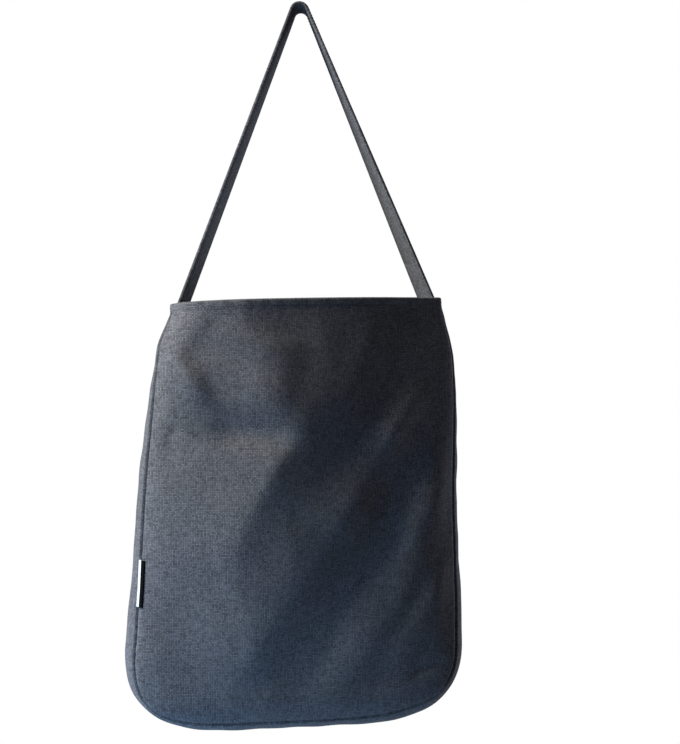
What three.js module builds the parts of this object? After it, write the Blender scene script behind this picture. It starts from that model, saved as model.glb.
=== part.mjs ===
// A shopping bag of heavy linen canvas, lined, hanging by its one long shoulder strap.
// Two panels are sewn to one long gusset that runs down the left side, along the bottom and up the right.
// The origin is the underside of the strap where it hangs, mid-width: front is -Y, right is +X, up is +Z.

import * as THREE from 'three';

// Driving dimensions, millimetres
const STRAP_DROP = 292; // hang point down to the middle of the mouth
const BAG_HEIGHT = 424; // mouth to bottom
const MOUTH_RISE = 0.0335; // the mouth climbs this much for each millimetre to the right
const SIDE_DROP = 340; // where the straight sides turn into the rounded bottom corners
const CORNER_WIDTH = 112; // width of one rounded corner
const CORNER_POWER = { left: 2.6, right: 2.7 }; // 2 is an ellipse, more is squarer
const CANVAS = 1.6; // outer cloth
const LINING = 1.0; // inner cloth
const LINING_SLACK = 1.4; // air between canvas and lining
const SEW_GAP = 0.3; // between sewn pieces
const HEM_HEIGHT = 9; // folded band round the mouth
const HEM_PROUD = 0.5; // how far the band stands out from the canvas
const STRAP_WIDTH = 28;
const STRAP_THICK = 3.8; // canvas folded over itself
const STRAP_TAIL = 34; // length sewn down inside the mouth
const STRAP_SEAT = 0.49; // where its middle lies across the gusset, front to back
const STRAP_CLEAR = 1.1; // from the lining that it is sewn to
const HANG_RADIUS = 6.5; // bend of the strap where it hangs
const HANG_TWIST = 10; // degrees that the strap is turned there
const LABEL_TOP = 250; // drop of the side label's top edge
const LABEL_HEIGHT = 44;
const LABEL_WIDTH = 6.2;
const LABEL_OVER = 1.2; // how far its fold lies over the seam
const LABEL_THICK = 1.0;

const TUCK = 6; // the front seam lies this much further in at the bottom right corner
const TUCK_PLACE = 0.62; // share of the outline where it does
const TUCK_REACH = 55;
const SEAM_CALM = 14; // folds and swell fade out within this distance of a seam

// Half the outline's width at each drop below the mouth, and where its middle lies
const OUTLINE = [
  { drop: 0, half: 133.3, centre: 6.0 },
  { drop: 10, half: 135.0, centre: 6.3 },
  { drop: 20, half: 138.7, centre: 5.6 },
  { drop: 30, half: 142.3, centre: 4.8 },
  { drop: 40, half: 145.7, centre: 4.6 },
  { drop: 60, half: 150.0, centre: 5.2 },
  { drop: 80, half: 152.6, centre: 4.6 },
  { drop: 110, half: 155.4, centre: 3.6 },
  { drop: 150, half: 158.1, centre: 1.4 },
  { drop: 190, half: 159.6, centre: -0.6 },
  { drop: 230, half: 161.3, centre: -1.4 },
  { drop: 270, half: 163.8, centre: -1.8 },
  { drop: 305, half: 166.9, centre: -2.5 },
  { drop: 340, half: 168.6, centre: -3.5 },
];

// The gusset's section: how far each seam lies inside the outline, how far the cloth swells beyond a
// straight line between the seams, and where the seams lie from front to back
const GUSSET = [
  { drop: 0, frontInset: 0, backInset: 12, swell: 3.5, frontY: -17.5, backY: 18.5 },
  { drop: 30, frontInset: 1.2, backInset: 11, swell: 4, frontY: -17.7, backY: 18.5 },
  { drop: 60, frontInset: 3, backInset: 10, swell: 5, frontY: -18, backY: 18.5 },
  { drop: 130, frontInset: 6, backInset: 8.5, swell: 7, frontY: -18.5, backY: 18.5 },
  { drop: 200, frontInset: 7, backInset: 8.5, swell: 8, frontY: -19, backY: 19 },
  { drop: 250, frontInset: 7.5, backInset: 8.5, swell: 8.3, frontY: -19.5, backY: 19.5 },
  { drop: 320, frontInset: 10, backInset: 10, swell: 10, frontY: -20.5, backY: 20.5 },
  { drop: 375, frontInset: 8.5, backInset: 9, swell: 8.8, frontY: -21.3, backY: 21.3 },
  { drop: 405, frontInset: 7.5, backInset: 7, swell: 7.2, frontY: -21.7, backY: 21.7 },
  { drop: 424, frontInset: 11.5, backInset: 11.5, swell: 11.5, frontY: -22, backY: 22 },
];

// The broad swell of each panel: where its highest line runs, how far it stands out, how round it is from
// there to the left and right seams (1 is a tent, 2 a round arch) and how far the line is rounded off
const FRONT_SWELL = [
  { drop: 0, crest: -56, rise: 44, leftRound: 1, rightRound: 1.7, blunt: 8 },
  { drop: 14, crest: -54, rise: 43.5, leftRound: 1, rightRound: 1.6, blunt: 8 },
  { drop: 60, crest: -40, rise: 43, leftRound: 1, rightRound: 1.35, blunt: 14 },
  { drop: 100, crest: -22, rise: 44.5, leftRound: 1, rightRound: 1.1, blunt: 16 },
  { drop: 130, crest: -18, rise: 45.5, leftRound: 1, rightRound: 0.97, blunt: 12 },
  { drop: 170, crest: -34, rise: 43.5, leftRound: 1, rightRound: 0.97, blunt: 10 },
  { drop: 230, crest: -60, rise: 35.5, leftRound: 1, rightRound: 1.1, blunt: 12 },
  { drop: 270, crest: -62, rise: 27.5, leftRound: 0.85, rightRound: 1.2, blunt: 25 },
  { drop: 310, crest: -50, rise: 20, leftRound: 0.8, rightRound: 1.3, blunt: 45 },
  { drop: 370, crest: -38, rise: 12.5, leftRound: 0.85, rightRound: 1.5, blunt: 50 },
  { drop: 424, crest: -30, rise: 8.5, leftRound: 1.2, rightRound: 1.6, blunt: 40 },
];
const BACK_SWELL = [
  { drop: 0, crest: 6, rise: 38, leftRound: 1.9, rightRound: 1.9, blunt: 10 },
  { drop: 70, crest: 2, rise: 38.3, leftRound: 1.9, rightRound: 1.9, blunt: 10 },
  { drop: 140, crest: 0, rise: 32.5, leftRound: 1.9, rightRound: 1.9, blunt: 10 },
  { drop: 310, crest: -4, rise: 24.5, leftRound: 1.9, rightRound: 1.9, blunt: 10 },
  { drop: 424, crest: -4, rise: 10.5, leftRound: 1.9, rightRound: 1.9, blunt: 10 },
];

// Beside its seams a panel rolls out: how far it stands out there, left and right, and in what distance
const FRONT_EDGES = [
  { drop: 0, left: 28, right: 0, leftRoll: 11.5, rightRoll: 7 },
  { drop: 14, left: 28, right: 0.5, leftRoll: 11.5, rightRoll: 7 },
  { drop: 60, left: 23, right: 4, leftRoll: 12, rightRoll: 7 },
  { drop: 100, left: 15, right: 4.5, leftRoll: 11, rightRoll: 7 },
  { drop: 130, left: 11, right: 4.5, leftRoll: 10, rightRoll: 7 },
  { drop: 170, left: 9, right: 4.5, leftRoll: 9.5, rightRoll: 7 },
  { drop: 230, left: 8, right: 4.5, leftRoll: 9, rightRoll: 7 },
  { drop: 270, left: 7, right: 4.5, leftRoll: 7, rightRoll: 7 },
  { drop: 310, left: 6, right: 4.5, leftRoll: 5.5, rightRoll: 7 },
  { drop: 370, left: 5, right: 4.5, leftRoll: 5.5, rightRoll: 7 },
  { drop: 424, left: 4.5, right: 4.5, leftRoll: 7, rightRoll: 7 },
];
const BACK_EDGES = [
  { drop: 0, left: 0, right: 0, leftRoll: 7, rightRoll: 7 },
  { drop: 70, left: 4.3, right: 4.3, leftRoll: 7, rightRoll: 7 },
  { drop: 140, left: 4.5, right: 4.5, leftRoll: 7, rightRoll: 7 },
  { drop: 310, left: 4.5, right: 4.5, leftRoll: 7, rightRoll: 7 },
  { drop: 424, left: 4.5, right: 4.5, leftRoll: 7, rightRoll: 7 },
];

// Folds: the middle of each crest, its lean from vertical in degrees (its foot goes left), half its length,
// how far its middle bows to the right, its height (a dent is below zero) and the spread of its two flanks
const FRONT_FOLDS = [
  { x: 46, z: -345, lean: 21, half: 75, bow: 3, height: 3.5, left: 50, right: 22 },
  { x: 62, z: -463, lean: 35, half: 62, bow: 0, height: 5.2, left: 23, right: 19 },
  { x: -10, z: -569, lean: 35, half: 105, bow: 0, height: 8.6, left: 52, right: 26 },
  { x: 98, z: -546, lean: 28, half: 132, bow: 8, height: 7.6, left: 31, right: 24 },
  { x: 118, z: -592, lean: 35, half: 60, bow: 6, height: 6.4, left: 18, right: 26 },
  { x: -40, z: -364, lean: 20, half: 34, bow: 0, height: 4, left: 24, right: 48 },
  { x: -117, z: -360, lean: -36, half: 36, bow: 0, height: 4.5, left: 16, right: 15 },
  { x: -66, z: -350, lean: -68, half: 36, bow: 0, height: -2, left: 16, right: 16 },
  { x: -50, z: -421, lean: -84, half: 34, bow: 0, height: -6, left: 16, right: 16 },
];
const BACK_FOLDS = [
  { x: 45, z: -400, lean: -20, half: 150, bow: 4, height: 6, left: 34, right: 30 },
  { x: -55, z: -470, lean: 18, half: 160, bow: -4, height: 6, left: 30, right: 34 },
  { x: -5, z: -590, lean: -32, half: 110, bow: 5, height: 5, left: 30, right: 26 },
];

const LINING_EASE = 0.6; // the lining hangs straighter: its folds have this share of the canvas's height
const LINING_DENT = 1.35; // where the canvas is dented, the lining is pushed in by this share of the dent

const FRONT = {
  name: 'front', facing: -1, edge: 'frontY', inset: 'frontInset',
  swell: FRONT_SWELL, edges: FRONT_EDGES, folds: FRONT_FOLDS,
};
const BACK = {
  name: 'back', facing: 1, edge: 'backY', inset: 'backInset',
  swell: BACK_SWELL, edges: BACK_EDGES, folds: BACK_FOLDS,
};

// Mesh steps: down a side, along the bottom and across the gusset
const CANVAS_STEPS = { side: 28, bottom: 24, across: 5 };
const LINING_STEPS = { side: 18, bottom: 14, across: 3 };
const CORNER_SHARE = 0.37; // part of the outline from the mouth to the middle of a bottom corner
const COLUMN_CROWD = 0.05; // how much closer the columns lie beside the seams, where a panel turns most
const SEAM_SAMPLES = 160;
const PROBE = 1.0; // step for slopes

const BOTTOM_Z = -STRAP_DROP - BAG_HEIGHT;

// Smooth value of a table's column at a drop below the mouth
function along(table, name, drop) {
  const last = table.length - 1;
  const at = THREE.MathUtils.clamp(drop, table[0].drop, table[last].drop);
  let row = 0;
  while (row < last - 1 && at > table[row + 1].drop) row += 1;
  const slope = (i) => {
    const before = table[Math.max(i - 1, 0)];
    const after = table[Math.min(i + 1, last)];
    return (after[name] - before[name]) / (after.drop - before.drop);
  };
  const span = table[row + 1].drop - table[row].drop;
  const t = (at - table[row].drop) / span;
  const rise = t * t * (3 - 2 * t);
  const leave = t * (1 - t) * (1 - t) * span * slope(row);
  const arrive = t * t * (t - 1) * span * slope(row + 1);
  return THREE.MathUtils.lerp(table[row][name], table[row + 1][name], rise) + leave + arrive;
}

// The mouth is a slanted line and the bottom is level
function mouthZ(x) {
  return -STRAP_DROP + MOUTH_RISE * x;
}

function heightAt(x, drop) {
  return THREE.MathUtils.lerp(mouthZ(x), BOTTOM_Z, drop / BAG_HEIGHT);
}

function dropAt(x, z) {
  return (BAG_HEIGHT * (mouthZ(x) - z)) / (mouthZ(x) - BOTTOM_Z);
}

// The outline seen from the front, from the left end of the mouth round the bottom to the right end
function outlineCurve() {
  const sideSteps = 34;
  const cornerSteps = 16;
  const half = (drop) => along(OUTLINE, 'half', drop);
  const centre = (drop) => along(OUTLINE, 'centre', drop);
  const edge = (sign, power) => {
    const points = [];
    const add = (out, drop) => {
      const x = centre(drop) + sign * out;
      points.push(new THREE.Vector2(x, heightAt(x, drop)));
    };
    for (let i = 0; i <= sideSteps; i += 1) {
      const drop = (SIDE_DROP * i) / sideSteps;
      add(half(drop), drop);
    }
    for (let i = 1; i <= cornerSteps; i += 1) {
      const angle = (Math.PI / 2) * (i / cornerSteps);
      const across = Math.max(Math.cos(angle), 0) ** (2 / power);
      const down = Math.sin(angle) ** (2 / power);
      add(half(SIDE_DROP) - CORNER_WIDTH * (1 - across), THREE.MathUtils.lerp(SIDE_DROP, BAG_HEIGHT, down));
    }
    return points;
  };
  const middle = new THREE.Vector2(centre(BAG_HEIGHT), BOTTOM_Z);
  const curve = new THREE.SplineCurve([
    ...edge(-1, CORNER_POWER.left), middle, ...edge(1, CORNER_POWER.right).reverse(),
  ]);
  curve.arcLengthDivisions = 1600;
  return curve;
}

const outline = outlineCurve();
const OUTLINE_LENGTH = outline.getLength();

// One section across the gusset, a given length along the outline
function sectionAt(length) {
  const share = THREE.MathUtils.clamp(length / OUTLINE_LENGTH, 0, 1);
  const rim = outline.getPointAt(share);
  const way = outline.getTangentAt(share);
  const drop = dropAt(rim.x, rim.y);
  const inward = new THREE.Vector3(-way.y, 0, way.x);
  const tuck = TUCK * Math.exp(-((((share - TUCK_PLACE) * OUTLINE_LENGTH) / TUCK_REACH) ** 2));
  const seam = (side, further) => {
    const inset = along(GUSSET, side.inset, drop) + further;
    return new THREE.Vector3(rim.x, along(GUSSET, side.edge, drop), rim.y).addScaledVector(inward, inset);
  };
  return { drop, inward, tuck, front: seam(FRONT, tuck), back: seam(BACK, 0) };
}

// A point of the gusset: t runs from the front seam to the back seam
function gussetPoint(length, t) {
  const { drop, inward, tuck, front, back } = sectionAt(length);
  const swell = (along(GUSSET, 'swell', drop) + tuck / 2) * 4 * t * (1 - t);
  return front.clone().lerp(back, t).addScaledVector(inward, -swell);
}

function gussetInward(length, t) {
  const step = 0.01;
  const down = gussetPoint(length + PROBE, t).sub(gussetPoint(length - PROBE, t));
  const across = gussetPoint(length, t + step).sub(gussetPoint(length, t - step));
  return down.cross(across).normalize();
}

// The seam lines, for the distance from any point of a panel to its own seam
function seamLine(name) {
  const points = [];
  for (let i = 0; i <= SEAM_SAMPLES; i += 1) {
    points.push(sectionAt((OUTLINE_LENGTH * i) / SEAM_SAMPLES)[name]);
  }
  return points;
}

FRONT.seam = seamLine('front');
BACK.seam = seamLine('back');

function lined(side) {
  const eased = (height) => height * (height > 0 ? LINING_EASE : LINING_DENT);
  return { ...side, folds: side.folds.map((fold) => ({ ...fold, height: eased(fold.height) })) };
}

function seamDistance(side, x, z) {
  const here = new THREE.Vector2(x, z);
  const near = new THREE.Vector2();
  let nearest = Infinity;
  for (let i = 1; i < side.seam.length; i += 1) {
    const a = side.seam[i - 1];
    const b = side.seam[i];
    const run = new THREE.Vector2(b.x - a.x, b.z - a.z);
    const t = THREE.MathUtils.clamp(near.set(x - a.x, z - a.z).dot(run) / run.lengthSq(), 0, 1);
    nearest = Math.min(nearest, near.set(a.x + t * run.x, a.z + t * run.y).distanceTo(here));
  }
  return nearest;
}

function foldHeight(fold, x, z) {
  const lean = THREE.MathUtils.degToRad(fold.lean);
  const down = -(x - fold.x) * Math.sin(lean) - (z - fold.z) * Math.cos(lean);
  const reach = down / fold.half;
  const aside = (x - fold.x) * Math.cos(lean) - (z - fold.z) * Math.sin(lean) + fold.bow * (reach ** 2 - 1);
  const spread = aside > 0 ? fold.right : fold.left;
  return fold.height * Math.exp(-((aside / spread) ** 2)) * Math.exp(-(reach ** 4));
}

// How far forward or back a panel lies at a point of its face
function panelDepth(side, x, z) {
  const drop = THREE.MathUtils.clamp(dropAt(x, z), 0, BAG_HEIGHT);
  const distance = seamDistance(side, x, z);
  const crest = along(side.swell, 'crest', drop);
  const middle = along(OUTLINE, 'centre', drop);
  const half = along(OUTLINE, 'half', drop) - along(GUSSET, side.inset, drop);
  const flank = x < crest ? 'left' : 'right';
  const span = x < crest ? crest - (middle - half) : middle + half - crest;
  const soft = along(side.swell, 'blunt', drop);
  const blunt = (run) => Math.hypot(run, soft) - soft;
  const reach = Math.min(blunt(x - crest) / blunt(span), 1);
  const edge = along(side.edges, flank, drop);
  const round = along(side.swell, `${flank}Round`, drop);
  const swell = (along(side.swell, 'rise', drop) - edge) * (1 - reach ** round);
  const roll = edge * (1 - Math.exp(-distance / along(side.edges, `${flank}Roll`, drop)));
  const folds = side.folds.reduce((sum, fold) => sum + foldHeight(fold, x, z), 0);
  const calm = 1 - Math.exp(-((distance / SEAM_CALM) ** 2));
  const low = THREE.MathUtils.smoothstep(drop, SIDE_DROP / 2, SIDE_DROP);
  const out = roll + calm * folds + THREE.MathUtils.lerp(1, calm, low) * swell;
  return along(GUSSET, side.edge, drop) + side.facing * out;
}

function panelPoint(side, x, z) {
  return new THREE.Vector3(x, panelDepth(side, x, z), z);
}

function panelInward(side, x, z) {
  const slopeX = (panelDepth(side, x + PROBE, z) - panelDepth(side, x - PROBE, z)) / (2 * PROBE);
  const slopeZ = (panelDepth(side, x, z + PROBE) - panelDepth(side, x, z - PROBE)) / (2 * PROBE);
  return new THREE.Vector3(slopeX, -1, slopeZ).normalize().multiplyScalar(side.facing);
}

// At a seam two cloths meet: both are thickened along this direction, so that they end on one mitre
function seamInward(side, length) {
  const section = sectionAt(length);
  const inside = section[side.name].clone().addScaledVector(section.inward, 2 * PROBE);
  const panel = panelInward(side, inside.x, inside.z);
  const gusset = gussetInward(length, side.name === 'front' ? 0 : 1);
  const mitre = panel.clone().add(gusset);
  return mitre.divideScalar(1 + panel.dot(gusset));
}

// Where a panel's column lies, as a share of its width
function columnShare(column, columns) {
  const share = column / columns;
  return share - COLUMN_CROWD * Math.sin(2 * Math.PI * share);
}

// Lengths along the outline of a panel's rows and columns
function seamStations(steps, top) {
  const corner = CORNER_SHARE * OUTLINE_LENGTH;
  const left = [];
  const bottom = [];
  for (let i = 0; i <= steps.side; i += 1) left.push(THREE.MathUtils.lerp(top, corner, i / steps.side));
  for (let i = 0; i <= steps.bottom; i += 1) {
    bottom.push(THREE.MathUtils.lerp(corner, OUTLINE_LENGTH - corner, columnShare(i, steps.bottom)));
  }
  const right = left.map((length) => OUTLINE_LENGTH - length);
  return { left, bottom, right };
}

// A panel's face as rows of points, each with the direction in which the cloth is thickened
function panelGrid(side, steps, top) {
  const { left, bottom, right } = seamStations(steps, top);
  const seam = (length) => {
    const section = sectionAt(length);
    return {
      point: section[side.name].clone().addScaledVector(section.inward, SEW_GAP / 2),
      inward: seamInward(side, length),
    };
  };
  const leftEdge = left.map(seam);
  const rightEdge = right.map(seam);
  const bottomEdge = bottom.map(seam);
  const [topLeft, topRight] = [leftEdge[0].point, rightEdge[0].point];
  const [lowLeft, lowRight] = [bottomEdge[0].point, bottomEdge[steps.bottom].point];
  const rows = [];
  for (let i = 0; i <= steps.side; i += 1) {
    const v = i / steps.side;
    const row = [];
    for (let j = 0; j <= steps.bottom; j += 1) {
      const u = columnShare(j, steps.bottom);
      if (i === steps.side) row.push(bottomEdge[j]);
      else if (j === 0) row.push(leftEdge[i]);
      else if (j === steps.bottom) row.push(rightEdge[i]);
      else {
        const between = (a, b, c, d) =>
          THREE.MathUtils.lerp(a, b, u) * (1 - v) + THREE.MathUtils.lerp(c, d, u) * v;
        const blend = (axis) =>
          (1 - v) * THREE.MathUtils.lerp(topLeft[axis], topRight[axis], u) +
          v * bottomEdge[j].point[axis] +
          THREE.MathUtils.lerp(leftEdge[i].point[axis], rightEdge[i].point[axis], u) -
          between(topLeft[axis], topRight[axis], lowLeft[axis], lowRight[axis]);
        const x = blend('x');
        const z = blend('z');
        row.push({ point: panelPoint(side, x, z), inward: panelInward(side, x, z) });
      }
    }
    rows.push(row);
  }
  return rows;
}

// The gusset as rows of points from the front seam to the back seam
function gussetGrid(steps, top) {
  const { left, bottom, right } = seamStations(steps, top);
  const lengths = [...left, ...bottom.slice(1, -1), ...right.slice().reverse()];
  return lengths.map((length) => {
    const { front, back } = sectionAt(length);
    const trim = SEW_GAP / 2 / front.distanceTo(back);
    const row = [];
    for (let j = 0; j <= steps.across; j += 1) {
      const t = THREE.MathUtils.lerp(trim, 1 - trim, j / steps.across);
      let inward = gussetInward(length, t);
      if (j === 0) inward = seamInward(FRONT, length);
      if (j === steps.across) inward = seamInward(BACK, length);
      row.push({ point: gussetPoint(length, t), inward });
    }
    return row;
  });
}

// A closed solid between two equal grids of points. A looped grid joins its last column to its first.
function wall(outer, inner, looped = false) {
  const rows = outer.length;
  const columns = outer[0].length;
  const positions = [...outer.flat(), ...inner.flat()].flatMap((p) => [p.x, p.y, p.z]);
  const outerAt = (r, c) => r * columns + (c % columns);
  const innerAt = (r, c) => rows * columns + outerAt(r, c);
  const triangles = [];
  const quad = (a, b, c, d) => triangles.push(a, b, c, a, c, d);
  const spans = looped ? columns : columns - 1;
  for (let r = 0; r < rows - 1; r += 1) {
    for (let c = 0; c < spans; c += 1) {
      quad(outerAt(r, c), outerAt(r + 1, c), outerAt(r + 1, c + 1), outerAt(r, c + 1));
      quad(innerAt(r, c), innerAt(r, c + 1), innerAt(r + 1, c + 1), innerAt(r + 1, c));
    }
    if (!looped) {
      quad(outerAt(r, 0), innerAt(r, 0), innerAt(r + 1, 0), outerAt(r + 1, 0));
      quad(outerAt(r + 1, spans), innerAt(r + 1, spans), innerAt(r, spans), outerAt(r, spans));
    }
  }
  for (let c = 0; c < spans; c += 1) {
    quad(outerAt(0, c + 1), innerAt(0, c + 1), innerAt(0, c), outerAt(0, c));
    const end = rows - 1;
    quad(outerAt(end, c), innerAt(end, c), innerAt(end, c + 1), outerAt(end, c + 1));
  }
  return facingOut(positions, triangles);
}

// Triangles are turned over where the grid ran the other way, so that every face points out
function facingOut(positions, triangles) {
  const corner = (i) => new THREE.Vector3().fromArray(positions, 3 * triangles[i]);
  let volume = 0;
  for (let i = 0; i < triangles.length; i += 3) {
    volume += corner(i).dot(corner(i + 1).cross(corner(i + 2)));
  }
  const geometry = new THREE.BufferGeometry();
  geometry.setAttribute('position', new THREE.Float32BufferAttribute(positions, 3));
  geometry.setIndex(volume > 0 ? triangles : triangles.slice().reverse());
  geometry.computeVertexNormals();
  return geometry;
}

// A cloth wall from a grid of points: from one depth below the bag's outer face to another
function cloth(grid, from, to, looped = false) {
  const layer = (depth) =>
    grid.map((row) => row.map(({ point, inward }) => point.clone().addScaledVector(inward, depth)));
  return wall(layer(from), layer(to), looped);
}

// The folded band round the mouth: a loop along the front, the right gusset, the back and the left gusset
function hemGrid() {
  const { bottom: columns, across } = CANVAS_STEPS;
  const edgePoint = (side, length, u) => {
    const left = sectionAt(length)[side.name];
    const right = sectionAt(OUTLINE_LENGTH - length)[side.name];
    const x = THREE.MathUtils.lerp(left.x, right.x, u);
    const z = THREE.MathUtils.lerp(left.z, right.z, u);
    return { point: panelPoint(side, x, z), inward: panelInward(side, x, z) };
  };
  const corner = (side, length) => {
    const point = sectionAt(length)[side.name];
    return { point, inward: seamInward(side, length) };
  };
  const sidePoint = (length, t) => ({ point: gussetPoint(length, t), inward: gussetInward(length, t) });
  return [0, HEM_HEIGHT].map((down) => {
    const [left, right] = [down, OUTLINE_LENGTH - down];
    const row = [corner(FRONT, left)];
    for (let j = 1; j < columns; j += 1) row.push(edgePoint(FRONT, down, columnShare(j, columns)));
    row.push(corner(FRONT, right));
    for (let j = 1; j < across; j += 1) row.push(sidePoint(right, j / across));
    row.push(corner(BACK, right));
    for (let j = columns - 1; j > 0; j -= 1) row.push(edgePoint(BACK, down, columnShare(j, columns)));
    row.push(corner(BACK, left));
    for (let j = across - 1; j > 0; j -= 1) row.push(sidePoint(left, j / across));
    return row;
  });
}

const LINING_FROM = CANVAS + LINING_SLACK;
const LINING_TO = LINING_FROM + LINING;

// The strap's centre line: up the inside of the left gusset, straight to the hang point, round it and down
// again, with the direction of its width at each station
function strapStations() {
  const tailSteps = 4;
  const legSteps = 14;
  const bendSteps = 10;
  const depth = LINING_TO + STRAP_CLEAR + STRAP_THICK / 2;
  const tail = (end) => {
    const points = [];
    for (let i = 0; i <= tailSteps; i += 1) {
      const down = STRAP_TAIL * (1 - i / tailSteps);
      const length = end === 'left' ? down : OUTLINE_LENGTH - down;
      const { front, back } = sectionAt(length);
      const reach = STRAP_WIDTH / 2 / front.distanceTo(back);
      const [near, far] = [STRAP_SEAT - reach, STRAP_SEAT + reach].map((t) =>
        gussetPoint(length, t).addScaledVector(gussetInward(length, STRAP_SEAT), depth));
      points.push({ centre: near.clone().lerp(far, 0.5), width: far.clone().sub(near).normalize() });
    }
    return points;
  };
  const left = tail('left');
  const right = tail('right');
  const twist = THREE.MathUtils.degToRad(HANG_TWIST);
  const hangWidth = new THREE.Vector3(Math.sin(twist), Math.cos(twist), 0);
  const hub = new THREE.Vector3(0, 0, -HANG_RADIUS);
  const radius = HANG_RADIUS + STRAP_THICK / 2;
  const touch = (foot, sign) => {
    const reach = foot.clone().sub(hub);
    const angle = Math.atan2(reach.z, reach.x) + sign * Math.acos(radius / Math.hypot(reach.x, reach.z));
    return THREE.MathUtils.euclideanModulo(angle, 2 * Math.PI);
  };
  const bendPoint = (angle) =>
    new THREE.Vector3(radius * Math.cos(angle), 0, radius * Math.sin(angle)).add(hub);
  const leftFoot = left[tailSteps];
  const rightFoot = right[tailSteps];
  const leftAngle = touch(leftFoot.centre, -1);
  const rightAngle = touch(rightFoot.centre, 1);
  const leg = (foot, angle) => {
    const points = [];
    for (let i = 1; i < legSteps; i += 1) {
      const t = i / legSteps;
      points.push({
        centre: foot.centre.clone().lerp(bendPoint(angle), t),
        width: foot.width.clone().lerp(hangWidth, t).normalize(),
      });
    }
    return points;
  };
  const bend = [];
  for (let i = 0; i <= bendSteps; i += 1) {
    const angle = THREE.MathUtils.lerp(leftAngle, rightAngle, i / bendSteps);
    bend.push({ centre: bendPoint(angle), width: hangWidth });
  }
  const leftLeg = leg(leftFoot, leftAngle);
  const rightLeg = leg(rightFoot, rightAngle).reverse();
  return [...left, ...leftLeg, ...bend, ...rightLeg, ...right.slice().reverse()];
}

function strapGeometry() {
  const stations = strapStations();
  const faces = stations.map(({ centre, width }, i) => {
    const before = stations[Math.max(i - 1, 0)].centre;
    const after = stations[Math.min(i + 1, stations.length - 1)].centre;
    const run = after.clone().sub(before).normalize();
    const across = width.clone().addScaledVector(run, -width.dot(run)).normalize();
    const outward = run.clone().cross(across).normalize();
    const row = (depth) =>
      [-0.5, 0.5].map((share) =>
        centre.clone().addScaledVector(across, share * STRAP_WIDTH).addScaledVector(outward, depth));
    return { one: row(STRAP_THICK / 2), other: row(-STRAP_THICK / 2) };
  });
  return wall(faces.map((face) => face.one), faces.map((face) => face.other));
}

// A narrow folded ribbon caught in the left front seam, lying on the panel with its fold over the seam
function labelGrid() {
  const downSteps = 6;
  const acrossSteps = 2;
  const rows = [];
  for (let i = 0; i <= downSteps; i += 1) {
    const length = LABEL_TOP + (LABEL_HEIGHT * i) / downSteps;
    const { inward, front } = sectionAt(length);
    const row = [];
    for (let j = 0; j <= acrossSteps; j += 1) {
      const reach = (LABEL_WIDTH * j) / acrossSteps - LABEL_OVER;
      const near = front.clone().addScaledVector(inward, Math.max(reach, SEW_GAP));
      const point = front.clone().addScaledVector(inward, reach);
      point.y = panelDepth(FRONT, near.x, near.z);
      row.push({ point, inward: panelInward(FRONT, near.x, near.z) });
    }
    rows.push(row);
  }
  return rows;
}

function clothMaterial(name, color, roughness) {
  return new THREE.MeshStandardMaterial({ name, color, roughness, metalness: 0 });
}

const canvas = clothMaterial('canvas', 0x4a5058, 0.92);
const liningCloth = clothMaterial('lining', 0xb4b3b0, 0.85);
const ribbon = clothMaterial('label', 0x17181a, 0.7);

const bag = new THREE.Group();
bag.name = 'shopping_bag';

function add(name, geometry, material) {
  const mesh = new THREE.Mesh(geometry, material);
  mesh.name = name;
  bag.add(mesh);
}

const clothTop = HEM_HEIGHT + SEW_GAP;
const liningTop = HEM_HEIGHT + 2 * SEW_GAP;
const canvasWall = (grid) => cloth(grid, 0, CANVAS);
const liningWall = (grid) => cloth(grid, LINING_FROM, LINING_TO);
add('front_panel', canvasWall(panelGrid(FRONT, CANVAS_STEPS, clothTop)), canvas);
add('back_panel', canvasWall(panelGrid(BACK, CANVAS_STEPS, clothTop)), canvas);
add('gusset', canvasWall(gussetGrid(CANVAS_STEPS, clothTop)), canvas);
add('mouth_hem', cloth(hemGrid(), -HEM_PROUD, LINING_TO, true), canvas);
add('front_lining', liningWall(panelGrid(lined(FRONT), LINING_STEPS, liningTop)), liningCloth);
add('back_lining', liningWall(panelGrid(lined(BACK), LINING_STEPS, liningTop)), liningCloth);
add('gusset_lining', liningWall(gussetGrid(LINING_STEPS, liningTop)), liningCloth);
add('strap', strapGeometry(), canvas);
add('side_label', cloth(labelGrid(), -SEW_GAP - LABEL_THICK, -SEW_GAP), ribbon);

export default bag;
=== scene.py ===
import math

import bpy
import numpy as np
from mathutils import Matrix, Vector


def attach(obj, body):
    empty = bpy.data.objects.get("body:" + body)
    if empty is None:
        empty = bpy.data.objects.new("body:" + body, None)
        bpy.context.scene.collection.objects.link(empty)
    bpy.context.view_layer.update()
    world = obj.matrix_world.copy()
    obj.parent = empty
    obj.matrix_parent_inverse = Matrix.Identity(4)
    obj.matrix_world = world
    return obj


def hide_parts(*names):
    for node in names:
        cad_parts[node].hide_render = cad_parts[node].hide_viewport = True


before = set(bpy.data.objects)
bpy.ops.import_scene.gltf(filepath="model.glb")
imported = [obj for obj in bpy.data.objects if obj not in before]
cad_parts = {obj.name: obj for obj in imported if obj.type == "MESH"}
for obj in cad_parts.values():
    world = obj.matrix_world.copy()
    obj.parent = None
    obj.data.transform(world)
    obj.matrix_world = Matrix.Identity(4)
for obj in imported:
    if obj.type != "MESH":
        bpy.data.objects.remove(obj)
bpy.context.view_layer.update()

# Camera
# A level camera about a metre in front of the bag, turned eight degrees to the right.
# With its 50 mm lens one millimetre of the bag is about one pixel of the picture.
MM = 0.001
CAMERA_PLACE = Vector((-104.65, -1028.44, -362.3)) * MM
CAMERA_TURN = math.radians(8)

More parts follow.
